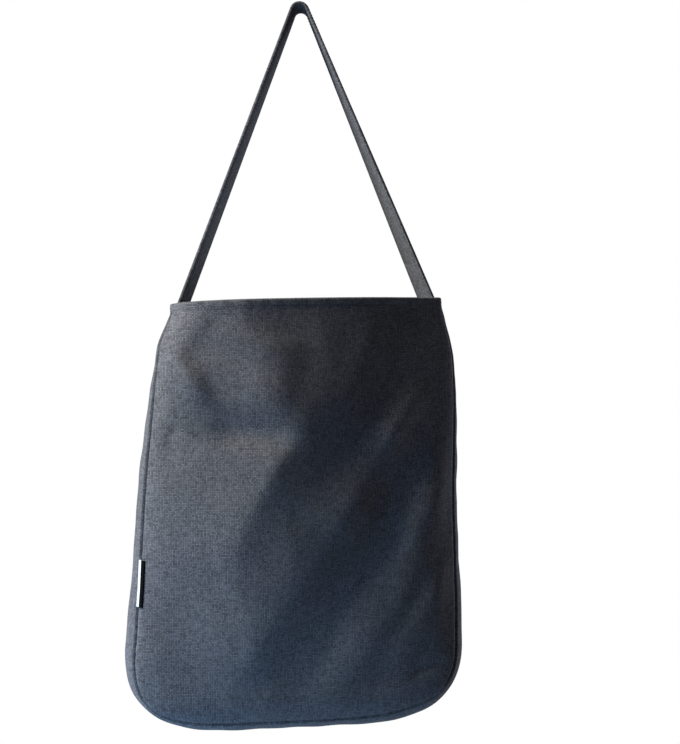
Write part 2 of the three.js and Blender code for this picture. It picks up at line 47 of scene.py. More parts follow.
camera = bpy.data.objects.new("camera", bpy.data.cameras.new("camera"))
camera.data.lens = 50
camera.data.sensor_width = 36
camera.location = CAMERA_PLACE
camera.rotation_euler = (math.pi / 2, 0, -CAMERA_TURN)
bpy.context.scene.collection.objects.link(camera)
bpy.context.scene.camera = camera

# Front panel
# One piece of slate linen canvas with rounded bottom corners, hanging from the mouth in soft slanting folds.
# It is sewn to the gusset down both sides and along the bottom, and its cloth rolls into that seam.
STRAP_DROP = 292.0  # all sizes are millimetres: hang point down to the middle of the mouth
BAG_HEIGHT = 424.0
BOTTOM = -STRAP_DROP - BAG_HEIGHT
MOUTH_RISE = 0.0335  # the mouth climbs this much for each millimetre to the right
SIDE_DROP = 340.0  # where the straight sides turn into the rounded bottom corners
CORNER_WIDTH = 112.0
CORNER_POWER = {"left": 2.6, "right": 2.7}  # 2 is an ellipse, more is squarer
CANVAS = 1.6  # thickness of the outer cloth
HEM_HEIGHT = 9.0
HEM_LAP = 2.0  # the cloth goes on this far under the hem
SEW_GAP = 0.3
CORNER_SHARE = 0.37  # part of the outline from the mouth to the middle of a bottom corner
TUCK = 6.0  # the front seam lies this much further in at the bottom right corner
TUCK_PLACE = 0.62  # share of the outline
TUCK_REACH = 55.0
SEAM_CALM = 14.0  # folds fade out within this distance of a seam
SLOPE_STEP = 1.0  # a slope is taken over this distance to either side
SEAM_DEPTH = 3.4  # how far the cloth rolls down into its seam
SEAM_ROLL = 1.1  # within this distance
PUCKER = 0.14  # height of the ripples beside a seam
PUCKER_WAVE = 12.0  # length of one
PUCKER_REACH = 9.0
HEM_PUCKER_WAVE = 11.0
CREASE_SPAN = 150.0  # slight creases lie at most this far from the middle
CREASE_MARGIN = 20.0  # and at least this far from the mouth and the bottom
CREASE_HALF = (16, 48)
CREASE_BOW = 3.0
CREASE_HEIGHT = (0.2, 0.7)
CREASE_SPREAD = (8, 18)
FOLDED_FROM = 10.0  # right of here the creases lean like the folds, left of here any way
FOLDED_LEAN = (30, 14)  # mean and scatter, degrees
LOOSE_LEAN = (5, 40)
LIVELY_ABOVE = -430.0  # the loose ones above this height are stronger
LIVELY = 1.9
FINE_STEP = 0.4  # mesh steps beside the seams and in the middle
COARSE_STEP = 2.1
# Half the outline's width at each drop below the mouth, and where its middle lies
OUTLINE = {
    "drop": (0, 10, 20, 30, 40, 60, 80, 110, 150, 190, 230, 270, 305, 340),
    "half": (133.3, 135, 138.7, 142.3, 145.7, 150, 152.6, 155.4, 158.1, 159.6, 161.3, 163.8, 166.9, 168.6),
    "centre": (6, 6.3, 5.6, 4.8, 4.6, 5.2, 4.6, 3.6, 1.4, -0.6, -1.4, -1.8, -2.5, -3.5),
}
# How far each seam lies inside the outline, how far the gusset swells out, and where the seams lie in depth
GUSSET = {
    "drop": (0, 30, 60, 130, 200, 250, 320, 375, 405, 424),
    "front_inset": (0, 1.2, 3, 6, 7, 7.5, 10, 8.5, 7.5, 11.5),
    "back_inset": (12, 11, 10, 8.5, 8.5, 8.5, 10, 9, 7, 11.5),
    "swell": (3.5, 4, 5, 7, 8, 8.3, 10, 8.8, 7.2, 11.5),
    "front_y": (-17.5, -17.7, -18, -18.5, -19, -19.5, -20.5, -21.3, -21.7, -22),
    "back_y": (18.5, 18.5, 18.5, 18.5, 19, 19.5, 20.5, 21.3, 21.7, 22),
}
# The broad swell: where its highest line runs, how far it stands out, how far and in what distance the cloth
# rolls out beside each seam, how round the swell is to either side, and how far its highest line is blunted
FRONT_SWELL = {
    "drop": (0, 14, 60, 100, 130, 170, 230, 270, 310, 370, 424),
    "crest": (-56, -54, -40, -22, -18, -34, -60, -62, -50, -38, -30),
    "rise": (44, 43.5, 43, 44.5, 45.5, 43.5, 35.5, 27.5, 20, 12.5, 8.5),
    "left_edge": (28, 28, 23, 15, 11, 9, 8, 7, 6, 5, 4.5),
    "right_edge": (0, 0.5, 4, 4.5, 4.5, 4.5, 4.5, 4.5, 4.5, 4.5, 4.5),
    "left_roll": (11.5, 11.5, 12, 11, 10, 9.5, 9, 7, 5.5, 5.5, 7),
    "right_roll": (7, 7, 7, 7, 7, 7, 7, 7, 7, 7, 7),
    "left_round": (1, 1, 1, 1, 1, 1, 1, 0.85, 0.8, 0.85, 1.2),
    "right_round": (1.7, 1.6, 1.35, 1.1, 0.97, 0.97, 1.1, 1.2, 1.3, 1.5, 1.6),
    "blunt": (8, 8, 14, 16, 12, 10, 12, 25, 45, 50, 40),
}
# Crest middle x and z, lean from vertical in degrees, half length, bow, height, spread of its two flanks
FRONT_FOLDS = (
    (46, -345, 21, 75, 3, 3.5, 50, 22),
    (98, -405, 36, 34, 0, 4, 13, 12),
    (62, -463, 35, 62, 0, 5.2, 23, 19),
    (-10, -569, 35, 105, 0, 8.6, 52, 26),
    (98, -546, 28, 132, 8, 7.6, 31, 24),
    (118, -592, 35, 60, 6, 6.4, 18, 26),
    (-40, -364, 20, 34, 0, 4, 24, 48),
    (-117, -360, -36, 36, 0, 4.5, 16, 11),
    (-66, -350, -68, 36, 0, -2, 16, 16),
    (-50, -421, -84, 34, 0, -6, 16, 16),
    (-128, -427, 10, 16, 0, -2, 8, 8),
    (126, -654, 72, 18, 0, -1.6, 7, 5),
)


def along(table, column, drop):
    """Smooth value of a table's column at a drop below the mouth."""
    key = np.asarray(table["drop"], float)
    value = np.asarray(table[column], float)
    at = np.clip(drop, key[0], key[-1])
    slope = np.gradient(value, np.arange(len(key))) / np.gradient(key, np.arange(len(key)))
    row = np.clip(np.searchsorted(key, at, side="right") - 1, 0, len(key) - 2)
    span = key[row + 1] - key[row]
    t = (at - key[row]) / span
    rise = t * t * (3 - 2 * t)
    leave = t * (1 - t) ** 2 * span * slope[row]
    arrive = t * t * (t - 1) * span * slope[row + 1]
    return value[row] + (value[row + 1] - value[row]) * rise + leave + arrive


def mouth_height(x):
    return -STRAP_DROP + MOUTH_RISE * x


def height_at(x, drop):
    return mouth_height(x) + (BOTTOM - mouth_height(x)) * drop / BAG_HEIGHT


def drop_at(x, z):
    return BAG_HEIGHT * (mouth_height(x) - z) / (mouth_height(x) - BOTTOM)


def trace_outline():
    """The bag's outline from the front: left end of the mouth, round the bottom, right end of the mouth."""
    corner_steps = 120
    side_points = 200
    angle = np.linspace(0, math.pi / 2, corner_steps + 1)[1:]
    side = np.linspace(0, SIDE_DROP, side_points)

    def edge(sign, power):
        across = np.cos(angle).clip(0) ** (2 / power)
        corner = along(OUTLINE, "half", SIDE_DROP) - CORNER_WIDTH * (1 - across)
        out = np.concatenate([along(OUTLINE, "half", side), corner])
        drop = np.concatenate([side, SIDE_DROP + (BAG_HEIGHT - SIDE_DROP) * np.sin(angle) ** (2 / power)])
        x = along(OUTLINE, "centre", drop) + sign * out
        return x, height_at(x, drop)

    left_x, left_z = edge(-1, CORNER_POWER["left"])
    right_x, right_z = edge(1, CORNER_POWER["right"])
    x = np.concatenate([left_x, right_x[::-1]])
    z = np.concatenate([left_z, right_z[::-1]])
    length = np.concatenate([[0], np.cumsum(np.hypot(np.diff(x), np.diff(z)))])
    return x, z, length


OUTLINE_X, OUTLINE_Z, OUTLINE_RUN = trace_outline()
OUTLINE_LENGTH = OUTLINE_RUN[-1]


def outline_at(length):
    x = np.interp(length, OUTLINE_RUN, OUTLINE_X)
    z = np.interp(length, OUTLINE_RUN, OUTLINE_Z)
    return np.stack([x, z], -1)


def sections(length):
    """Sections across the gusset: drop, inward direction, front tuck and the points of both seams."""
    length = np.clip(length, 0, OUTLINE_LENGTH)
    rim = outline_at(length)
    way = outline_at(length + SLOPE_STEP) - outline_at(length - SLOPE_STEP)
    way /= np.linalg.norm(way, axis=-1, keepdims=True)
    inward = np.stack([-way[..., 1], 0 * way[..., 0], way[..., 0]], -1)
    drop = drop_at(rim[..., 0], rim[..., 1])
    tuck = TUCK * np.exp(-((length - TUCK_PLACE * OUTLINE_LENGTH) / TUCK_REACH) ** 2)

    def seam(side, further):
        place = np.stack([rim[..., 0], along(GUSSET, side + "_y", drop), rim[..., 1]], -1)
        return place + inward * (along(GUSSET, side + "_inset", drop) + further)[..., None]

    seams = {"front": seam("front", tuck), "back": seam("back", 0)}
    return {"drop": drop, "inward": inward, "tuck": tuck, **seams}


def seam_distance(side, x, z):
    """Distance from places on a panel to its seam, and how far along the seam the nearest point is."""
    step = 7.0
    batch = 4000
    seam = sections(np.linspace(0, OUTLINE_LENGTH, round(OUTLINE_LENGTH / step)))[side["name"]][:, [0, 2]]
    run = np.diff(seam, axis=0)
    square = (run ** 2).sum(1)
    place = np.stack([np.ravel(x), np.ravel(z)], -1)
    distance = np.empty(len(place))
    nearest = np.empty(len(place))
    for few in np.array_split(np.arange(len(place)), len(place) // batch + 1):
        away = place[few, None] - seam[:-1]
        t = np.clip((away * run).sum(-1) / square, 0, 1)
        gap = np.linalg.norm(away - t[..., None] * run, axis=-1)
        best = gap.argmin(1)
        distance[few] = gap[np.arange(len(few)), best]
        nearest[few] = (best + t[np.arange(len(few)), best]) * step
    return distance.reshape(np.shape(x)), nearest.reshape(np.shape(x))


def fold_height(fold, x, z):
    fold_x, fold_z, lean, half, bow, height, left, right = fold
    lean_x = math.sin(math.radians(lean))
    lean_z = math.cos(math.radians(lean))
    reach = (-(x - fold_x) * lean_x - (z - fold_z) * lean_z) / half
    aside = (x - fold_x) * lean_z - (z - fold_z) * lean_x + bow * (reach ** 2 - 1)
    spread = np.where(aside > 0, right, left)
    return height * np.exp(-(aside / spread) ** 2) * np.exp(-reach ** 4)


def panel_depth(side, x, z):
    """How far forward or back a panel's smooth face lies."""
    drop = np.clip(drop_at(x, z), 0, BAG_HEIGHT)
    distance = seam_distance(side, x, z)[0]
    swell = side["swell"]
    crest = along(swell, "crest", drop)
    middle = along(OUTLINE, "centre", drop)
    half = along(OUTLINE, "half", drop) - along(GUSSET, side["name"] + "_inset", drop)
    left = x < crest

    def flank(column):
        return np.where(left, along(swell, "left_" + column, drop), along(swell, "right_" + column, drop))

    span = np.where(left, crest - (middle - half), middle + half - crest)
    blunt = along(swell, "blunt", drop)
    reach = np.minimum((np.hypot(x - crest, blunt) - blunt) / (np.hypot(span, blunt) - blunt), 1)
    edge = flank("edge")
    rise = (along(swell, "rise", drop) - edge) * (1 - reach ** flank("round"))
    folds = sum(fold_height(fold, x, z) for fold in side["folds"])
    calm = 1 - np.exp(-(distance / SEAM_CALM) ** 2)
    low = np.clip((drop - SIDE_DROP / 2) / (SIDE_DROP / 2), 0, 1)
    low = low * low * (3 - 2 * low)
    roll = edge * (1 - np.exp(-distance / flank("roll")))
    out = roll + calm * folds + (1 + (calm - 1) * low) * rise
    return along(GUSSET, side["name"] + "_y", drop) + side["facing"] * out


def panel_inward(side, x, z):
    step = SLOPE_STEP
    slope_x = (panel_depth(side, x + step, z) - panel_depth(side, x - step, z)) / (2 * step)
    slope_z = (panel_depth(side, x, z + step) - panel_depth(side, x, z - step)) / (2 * step)
    inward = np.stack([slope_x, -np.ones_like(slope_x), slope_z], -1) * side["facing"]
    return inward / np.linalg.norm(inward, axis=-1, keepdims=True)


def crowded(length, fine, coarse, growth=1.3):
    """Shares of a length whose steps grow from fine at both ends to coarse in between."""
    steps = [fine]
    while steps[-1] * growth < coarse:
        steps.append(steps[-1] * growth)
    ends = np.cumsum(steps)
    count = round((length - 2 * ends[-1]) / coarse)
    middle = np.linspace(ends[-1], length - ends[-1], count + 1)[1:-1]
    return np.concatenate([[0], ends, middle, length - ends[::-1], [length]]) / length


def panel_grid(side, top, fine, coarse):
    """Places on a panel's face, row by row, between its left, right and bottom seams."""
    corner = CORNER_SHARE * OUTLINE_LENGTH
    down = crowded(corner - top, fine, coarse)
    over = crowded(OUTLINE_LENGTH - 2 * corner, fine, coarse)

    def seam(length):
        section = sections(length)
        place = section[side["name"]] + section["inward"] * SEW_GAP / 2
        return place[:, [0, 2]]

    left = seam(top + (corner - top) * down)[:, None]
    right = seam(OUTLINE_LENGTH - top - (corner - top) * down)[:, None]
    bottom = seam(corner + (OUTLINE_LENGTH - 2 * corner) * over)[None]
    u = over[None, :, None]
    v = down[:, None, None]
    mouth = left[:1] * (1 - u) + right[:1] * u
    corners = mouth * (1 - v) + (bottom[:, :1] * (1 - u) + bottom[:, -1:] * u) * v
    place = mouth * (1 - v) + bottom * v + left * (1 - u) + right * u - corners
    return place[..., 0], place[..., 1]


def ripple(along_run, wave, seed):
    """Uneven ripples along a line, mostly between -1 and 1 high and about one wave long."""
    draw = np.random.default_rng(seed)
    parts = 5
    peak = 1.6  # the parts seldom all meet
    total = np.zeros_like(along_run)
    for _ in range(parts):
        length = wave * draw.uniform(0.7, 1.7)
        phase = draw.uniform(0, 6.3)
        total += np.sin(2 * math.pi * along_run / length + phase)
    return total / parts * peak


def seam_relief(distance, place, seed):
    """The roll of cloth into its seam and the puckers beside it."""
    roll = SEAM_DEPTH * np.exp(-(distance / SEAM_ROLL) ** 2)
    return PUCKER * ripple(place, PUCKER_WAVE, seed) * np.exp(-distance / PUCKER_REACH) - roll


def small_creases(x, z, count, seed):
    """Slight creases from handling, mostly along the folds."""
    draw = np.random.default_rng(seed)
    total = np.zeros_like(x)
    for _ in range(count):
        at_x = draw.uniform(-CREASE_SPAN, CREASE_SPAN)
        at_z = draw.uniform(BOTTOM + CREASE_MARGIN, -STRAP_DROP - CREASE_MARGIN)
        lean = draw.normal(*(FOLDED_LEAN if at_x > FOLDED_FROM else LOOSE_LEAN))
        half = draw.uniform(*CREASE_HALF)
        height = draw.choice([-1, 1]) * draw.uniform(*CREASE_HEIGHT)
        if at_x < FOLDED_FROM and at_z > LIVELY_ABOVE:
            height *= LIVELY
        spread = draw.uniform(*CREASE_SPREAD)
        bow = draw.uniform(-CREASE_BOW, CREASE_BOW)
        total += fold_height((at_x, at_z, lean, half, bow, height, spread, spread), x, z)
    return total


def quads(grid):
    return np.stack([grid[:-1, :-1], grid[1:, :-1], grid[1:, 1:], grid[:-1, 1:]], -1).reshape(-1, 4)


def closed_wall(name, outer, inner, grain, looped=False):
    """A closed cloth wall between two grids of points, with its thread directions in the UV map cloth."""
    rows, columns = outer.shape[:2]
    point = np.arange(rows * columns).reshape(rows, columns)
    if looped:
        point = np.concatenate([point, point[:, :1]], 1)
    mark = np.arange(grain.shape[0] * grain.shape[1]).reshape(grain.shape[:2])

    def skin(grid, inside):
        sides = [quads(grid), quads(inside)[:, ::-1]]
        sides.append(quads(np.stack([inside[0], grid[0]])))
        sides.append(quads(np.stack([grid[-1], inside[-1]])))
        if not looped:
            sides.append(quads(np.stack([grid[:, 0], inside[:, 0]])))
            sides.append(quads(np.stack([inside[:, -1], grid[:, -1]])))
        return np.concatenate(sides)

    faces = skin(point, point + rows * columns)
    marks = skin(mark, mark)
    places = np.concatenate([outer.reshape(-1, 3), inner.reshape(-1, 3)]) * MM
    return cloth_mesh(name, places, faces, grain.reshape(-1, 2)[marks] * MM)


def cloth_mesh(name, places, faces, grain):
    """A smooth mesh whose faces point out, with one UV pair for each face corner."""
    a, b, c, d = (places[faces[:, i]] for i in range(4))
    volume = (a * np.cross(b, c) + a * np.cross(c, d)).sum()
    if volume < 0:
        faces = faces[:, ::-1]
        grain = grain[:, ::-1]
    mesh = bpy.data.meshes.new(name)
    mesh.from_pydata(places.tolist(), [], faces.tolist())
    mesh.uv_layers.new(name="cloth").data.foreach_set("uv", grain.reshape(-1).astype(np.float32))
    mesh.shade_smooth()
    piece = bpy.data.objects.new(name, mesh)
    bpy.context.scene.collection.objects.link(piece)
    return piece


def add_node(tree, kind, inputs=None, **settings):
    """A node with its settings, whose inputs are plain values or the sockets that feed them."""
    node = tree.nodes.new(kind)
    for name, value in settings.items():
        setattr(node, name, value)
    for name, value in (inputs or {}).items():
        if isinstance(value, bpy.types.NodeSocket):
            tree.links.new(value, node.inputs[name])
        else:
            node.inputs[name].default_value = value
    return node


def work_out(tree, operation, *values):
    """One sum, product or other step of arithmetic between values or sockets."""
    node = add_node(tree, "ShaderNodeMath", dict(enumerate(values)), operation=operation)
    return node.outputs[0]


def blend(tree, share, low, high):
    return add_node(tree, "ShaderNodeMix", {0: share, 2: low, 3: high}, data_type="FLOAT").outputs[0]


def blend_colour(tree, share, low, high):
    return add_node(tree, "ShaderNodeMix", {0: share, 6: low, 7: high}, data_type="RGBA").outputs[2]


def weave_group():
    """Plain weave: threads over and under in turn, slubs along each thread and speckles where they cross."""
    drift_scale = 16
    crown_rise = 0.45  # a thread's crown stands this much higher in the middle of its float
    thread_apart = 3.17  # in the noise, so that each thread has its own slubs
    weft_start = 0.37
    warp_start = 91.7
    tree = bpy.data.node_groups.new("plain_weave", "ShaderNodeTree")
    tree.interface.new_socket("Vector", in_out="INPUT", socket_type="NodeSocketVector")
    for name in ("Pitch", "Wander", "Slub Length", "Speckle"):
        tree.interface.new_socket(name, in_out="INPUT", socket_type="NodeSocketFloat")
    for name in ("Height", "Tone"):
        tree.interface.new_socket(name, in_out="OUTPUT", socket_type="NodeSocketFloat")
    given = tree.nodes.new("NodeGroupInput").outputs
    drift = add_node(tree, "ShaderNodeTexNoise",
                     {"Vector": given["Vector"], "Scale": drift_scale, "Detail": 3})
    centred = add_node(tree, "ShaderNodeVectorMath", {0: drift.outputs["Color"], 1: (0.5, 0.5, 0.5)},
                       operation="SUBTRACT")
    strayed = add_node(tree, "ShaderNodeVectorMath", {0: centred.outputs[0], "Scale": given["Wander"]},
                       operation="SCALE")
    threads = add_node(tree, "ShaderNodeVectorMath",
                       {0: given["Vector"], "Scale": work_out(tree, "DIVIDE", 1, given["Pitch"])},
                       operation="SCALE")
    place = add_node(tree, "ShaderNodeVectorMath", {0: threads.outputs[0], 1: strayed.outputs[0]})
    axes = add_node(tree, "ShaderNodeSeparateXYZ", {0: place.outputs[0]}).outputs
    number = [work_out(tree, "FLOOR", axes[i]) for i in (0, 1)]
    aside = [work_out(tree, "SUBTRACT", work_out(tree, "FRACT", axes[i]), 0.5) for i in (0, 1)]
    hump = [work_out(tree, "COSINE", work_out(tree, "MULTIPLY", a, math.pi)) for a in aside]
    over = work_out(tree, "FLOORED_MODULO", work_out(tree, "ADD", *number), 2)

    def crown(across, lengthwise):
        rise = work_out(tree, "MULTIPLY_ADD", lengthwise, crown_rise, 1 - crown_rise)
        return work_out(tree, "MULTIPLY", across, rise)

    def slub(thread, run, start):
        apart = work_out(tree, "MULTIPLY_ADD", thread, thread_apart, start)
        spot = add_node(tree, "ShaderNodeCombineXYZ",
                        {0: apart, 1: work_out(tree, "DIVIDE", run, given["Slub Length"])})
        noise = add_node(tree, "ShaderNodeTexNoise", {"Vector": spot.outputs[0], "Scale": 1, "Detail": 1})
        return noise.outputs[0]

    out = tree.nodes.new("NodeGroupOutput").inputs
    tree.links.new(blend(tree, over, crown(hump[1], hump[0]), crown(hump[0], hump[1])), out["Height"])
    tones = slub(number[1], axes[0], weft_start), slub(number[0], axes[1], warp_start)
    crossing = add_node(tree, "ShaderNodeCombineXYZ", {0: number[0], 1: number[1]}).outputs[0]
    chance = add_node(tree, "ShaderNodeTexWhiteNoise", {"Vector": crossing}).outputs["Value"]
    tree.links.new(blend(tree, given["Speckle"], blend(tree, over, *tones), chance), out["Tone"])
    return tree


def woven_material(name, pitch, wander, slub, speckle, dark, light, relief):
    """Cloth of two yarn tones with painted shade between the threads: returns the material, its shader and
    the socket of its shaded yarn colour.
    """
    dark_below, light_above = 0.3, 0.7  # of the weave's tone
    between, crown = 0.5, 0.75  # painted shade: brightness between the threads, and what a crown adds
    patch_scale = 11
    patch_dark, patch_light = 0.85, 0.3
    bump_strength = 0.5
    material = bpy.data.materials.new(name)
    material.use_nodes = True
    tree = material.node_tree
    shader = tree.nodes["Principled BSDF"]
    grain = add_node(tree, "ShaderNodeUVMap", uv_map="cloth").outputs[0]
    values = {"Vector": grain, "Pitch": pitch, "Wander": wander, "Slub Length": slub, "Speckle": speckle}
    weave = add_node(tree, "ShaderNodeGroup", values, node_tree=WEAVE).outputs
    tone = add_node(tree, "ShaderNodeMapRange",
                    {"Value": weave["Tone"], "From Min": dark_below, "From Max": light_above}).outputs[0]
    yarn = blend_colour(tree, tone, dark, light)
    # Painted shade: the cloth is darker between the threads and lighter on their crowns.
    shade = work_out(tree, "MULTIPLY_ADD", weave["Height"], crown, between)
    patch = add_node(tree, "ShaderNodeTexNoise",
                     {"Vector": grain, "Scale": patch_scale, "Detail": 3}).outputs[0]
    # Painted thread shade times a random mottling of the cloth.
    thread_shade_and_mottle = work_out(tree, "MULTIPLY", shade, work_out(tree, "MULTIPLY_ADD", patch, patch_light, patch_dark))
    colour = add_node(tree, "ShaderNodeVectorMath", {0: yarn, "Scale": thread_shade_and_mottle}, operation="SCALE")
    bump = add_node(tree, "ShaderNodeBump",
                    {"Height": weave["Height"], "Distance": relief, "Strength": bump_strength})
    tree.links.new(colour.outputs[0], shader.inputs["Base Color"])
    tree.links.new(bump.outputs[0], shader.inputs["Normal"])
    return material, shader, colour.outputs[0]


WEAVE = weave_group()
canvas, canvas_shader, _ = woven_material(
    "canvas", pitch=1.6 * MM, wander=1.6, slub=5, speckle=0.2, relief=0.35 * MM,
    dark=(0.056, 0.0585, 0.0645, 1), light=(0.154, 0.16, 0.175, 1))
canvas_shader.inputs["Roughness"].default_value = 0.92
canvas_shader.inputs["Specular IOR Level"].default_value = 0.25
canvas_shader.inputs["Sheen Weight"].default_value = 0.08


def panel(side, crease_count, seed, fine, coarse):
    """One canvas panel as a closed wall: smooth hanging form, creases, puckers and rolled seam edges."""
    x, z = panel_grid(side, HEM_HEIGHT - HEM_LAP, fine, coarse)
    distance, place = seam_distance(side, x, z)
    face = np.stack([x, panel_depth(side, x, z), z], -1)
    inward = panel_inward(side, x, z)
    calm = 1 - np.exp(-(distance / SEAM_CALM) ** 2)
    below_hem = (drop_at(x, z) - HEM_HEIGHT).clip(0)
    hem_pull = np.exp(-below_hem / PUCKER_REACH)
    creases = calm * (1 - hem_pull) * small_creases(x, z, crease_count, seed)
    relief = seam_relief(distance, place, seed) + creases
    relief += PUCKER * hem_pull * ripple(x, HEM_PUCKER_WAVE, seed + 1)
    outer = face - inward * relief[..., None]
    inner = face + inward * np.maximum(CANVAS, SEW_GAP - relief)[..., None]
    grain = np.stack([x, -drop_at(x, z)], -1)
    piece = closed_wall("canvas_" + side["name"], outer, inner, grain)
    piece.data.materials.append(canvas)
    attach(piece, "root")
    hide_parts(side["name"] + "_panel")
    return piece


FRONT = {"name": "front", "facing": -1, "swell": FRONT_SWELL, "folds": FRONT_FOLDS}
front_panel = panel(FRONT, crease_count=80, seed=5, fine=FINE_STEP, coarse=COARSE_STEP)

# Back panel
# The same cut of canvas as the front, hanging rounder because the strap pulls the mouth open behind.
# It is sewn to the gusset's other edge in the same way.
BACK_SWELL = {
    "drop": (0, 70, 140, 310, 424),
    "crest": (6, 2, 0, -4, -4),
    "rise": (38, 38.3, 32.5, 24.5, 10.5),
    "left_edge": (0, 4.3, 4.5, 4.5, 4.5),
    "right_edge": (0, 4.3, 4.5, 4.5, 4.5),
    "left_roll": (7, 7, 7, 7, 7),
    "right_roll": (7, 7, 7, 7, 7),
    "left_round": (1.9, 1.9, 1.9, 1.9, 1.9),
    "right_round": (1.9, 1.9, 1.9, 1.9, 1.9),
    "blunt": (10, 10, 10, 10, 10),
}
BACK_FOLDS = (
    (45, -400, -20, 150, 4, 6, 34, 30),
    (-55, -470, 18, 160, -4, 6, 30, 34),
    (-5, -590, -32, 110, 5, 5, 30, 26),
)
BACK_COARSE_STEP = 2.6

BACK = {"name": "back", "facing": 1, "swell": BACK_SWELL, "folds": BACK_FOLDS}
back_panel = panel(BACK, crease_count=50, seed=11, fine=FINE_STEP, coarse=BACK_COARSE_STEP)

# Gusset
# One long strip of canvas that runs down the left side, along the bottom and up the right side.
# Its edges are sewn to the two panels with the seam turned in, so each seam shows as a narrow groove.
GUSSET_DEPTH = 42.0  # from seam to seam, about
GUSSET_SWAY = 0.5  # slight waves along the strip
GUSSET_WAVE = 46.0  # length of one
ACROSS_STEP = 3.0


def gusset_points(length, t):
    section = sections(length)
    front = section["front"]
    swell = (along(GUSSET, "swell", section["drop"]) + section["tuck"] / 2) * 4 * t * (1 - t)
    return front + (section["back"] - front) * t[..., None] - section["inward"] * swell[..., None]


def gusset_inward(length, t):
    step = 0.01
    down = gusset_points(length + SLOPE_STEP, t) - gusset_points(length - SLOPE_STEP, t)
    across = gusset_points(length, t + step) - gusset_points(length, t - step)
    inward = np.cross(down, across)
    return inward / np.linalg.norm(inward, axis=-1, keepdims=True)


def gusset_grid(top, fine, coarse, across_coarse):
    """Lengths along the outline and shares across the gusset, as two grids."""
    run = OUTLINE_LENGTH - 2 * top
    length = top + run * crowded(run, fine, coarse)
    trim = SEW_GAP / 2 / GUSSET_DEPTH
    t = trim + (1 - 2 * trim) * crowded(GUSSET_DEPTH, fine, across_coarse)
    return np.meshgrid(length, t, indexing="ij")


length, t = gusset_grid(HEM_HEIGHT - HEM_LAP, FINE_STEP, COARSE_STEP, ACROSS_STEP)
face = gusset_points(length, t)
inward = gusset_inward(length, t)
section = sections(length)
depth = np.linalg.norm(section["back"] - section["front"], axis=-1)
relief = seam_relief(t * depth, length, seed=21) + seam_relief((1 - t) * depth, length, seed=22)
relief += GUSSET_SWAY * ripple(length, GUSSET_WAVE, seed=23) * np.sin(math.pi * t)
outer = face - inward * relief[..., None]
inner = face + inward * np.maximum(CANVAS, SEW_GAP - relief)[..., None]
gusset = closed_wall("canvas_gusset", outer, inner, np.stack([t * depth, length], -1))
gusset.data.materials.append(canvas)
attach(gusset, "root")
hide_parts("gusset")

# Lining
# Three pieces of pale cotton cut like the outer cloth and sewn together as a second bag inside it.
# They hang a little looser than the canvas and are caught under the folded hem at the mouth.
LINING = 1.0  # thickness of the inner cloth
LINING_DEPTH = 3.0  # from the canvas's face to the lining's outer face
LINING_EASE = 0.6  # the lining's folds have this share of the canvas's height
LINING_TURN = 1.7  # it lies this much deeper at the seams, behind the turned-in canvas
LINING_TURN_REACH = 3.0
LINING_TOP = HEM_HEIGHT + 2 * SEW_GAP
LINING_FINE_STEP = 1.5
LINING_COARSE_STEP = 5.0
STRIPE_PITCH = 14.0
STRIPE_WIDTH = 0.16  # share of the pitch
STRIPE_INK = (0.03, 0.03, 0.035, 1)

lining, lining_shader, cotton = woven_material(
    "lining", pitch=0.55 * MM, wander=1.2, slub=14, speckle=0.1, relief=0.1 * MM,
    dark=(0.50, 0.50, 0.50, 1), light=(0.62, 0.62, 0.61, 1))
lining_shader.inputs["Roughness"].default_value = 0.85
tree = lining.node_tree
grain = add_node(tree, "ShaderNodeUVMap", uv_map="cloth").outputs[0]
across = add_node(tree, "ShaderNodeSeparateXYZ", {0: grain}).outputs[0]
turn = work_out(tree, "FRACT", work_out(tree, "DIVIDE", across, STRIPE_PITCH * MM))
inked = work_out(tree, "LESS_THAN", turn, STRIPE_WIDTH)
striped = blend_colour(tree, inked, cotton, STRIPE_INK)
tree.links.new(striped, lining_shader.inputs["Base Color"])


def lined(side):
    """The same side with folds as its lining has them: ridges lower, dents as deep."""
    eased = [(*fold[:5], fold[5] * (LINING_EASE if fold[5] > 0 else 1), *fold[6:]) for fold in side["folds"]]
    return {**side, "folds": eased}


def hang_lining(name, face, inward, distance, grain):
    depth = LINING_DEPTH + LINING_TURN * np.exp(-(distance / LINING_TURN_REACH) ** 2)
    outer = face + inward * depth[..., None]
    return closed_wall(name, outer, outer + inward * LINING, grain)


def finish_lining(piece, node):
    piece.data.materials.append(lining)
    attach(piece, "root")
    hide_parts(node)


for side in (lined(FRONT), lined(BACK)):
    x, z = panel_grid(side, LINING_TOP, LINING_FINE_STEP, LINING_COARSE_STEP)
    inward = panel_inward(side, x, z)
    face = np.stack([x, panel_depth(side, x, z), z], -1)
    distance = seam_distance(side, x, z)[0]
    cloth = hang_lining("lining_" + side["name"], face, inward, distance, np.stack([x, -drop_at(x, z)], -1))
    finish_lining(cloth, side["name"] + "_lining")

length, t = gusset_grid(LINING_TOP, LINING_FINE_STEP, LINING_COARSE_STEP, LINING_COARSE_STEP)
face = gusset_points(length, t)
inward = gusset_inward(length, t)
distance = GUSSET_DEPTH * np.minimum(t, 1 - t)
cloth = hang_lining("lining_gusset", face, inward, distance, np.stack([t * GUSSET_DEPTH, length], -1))
finish_lining(cloth, "gusset_lining")

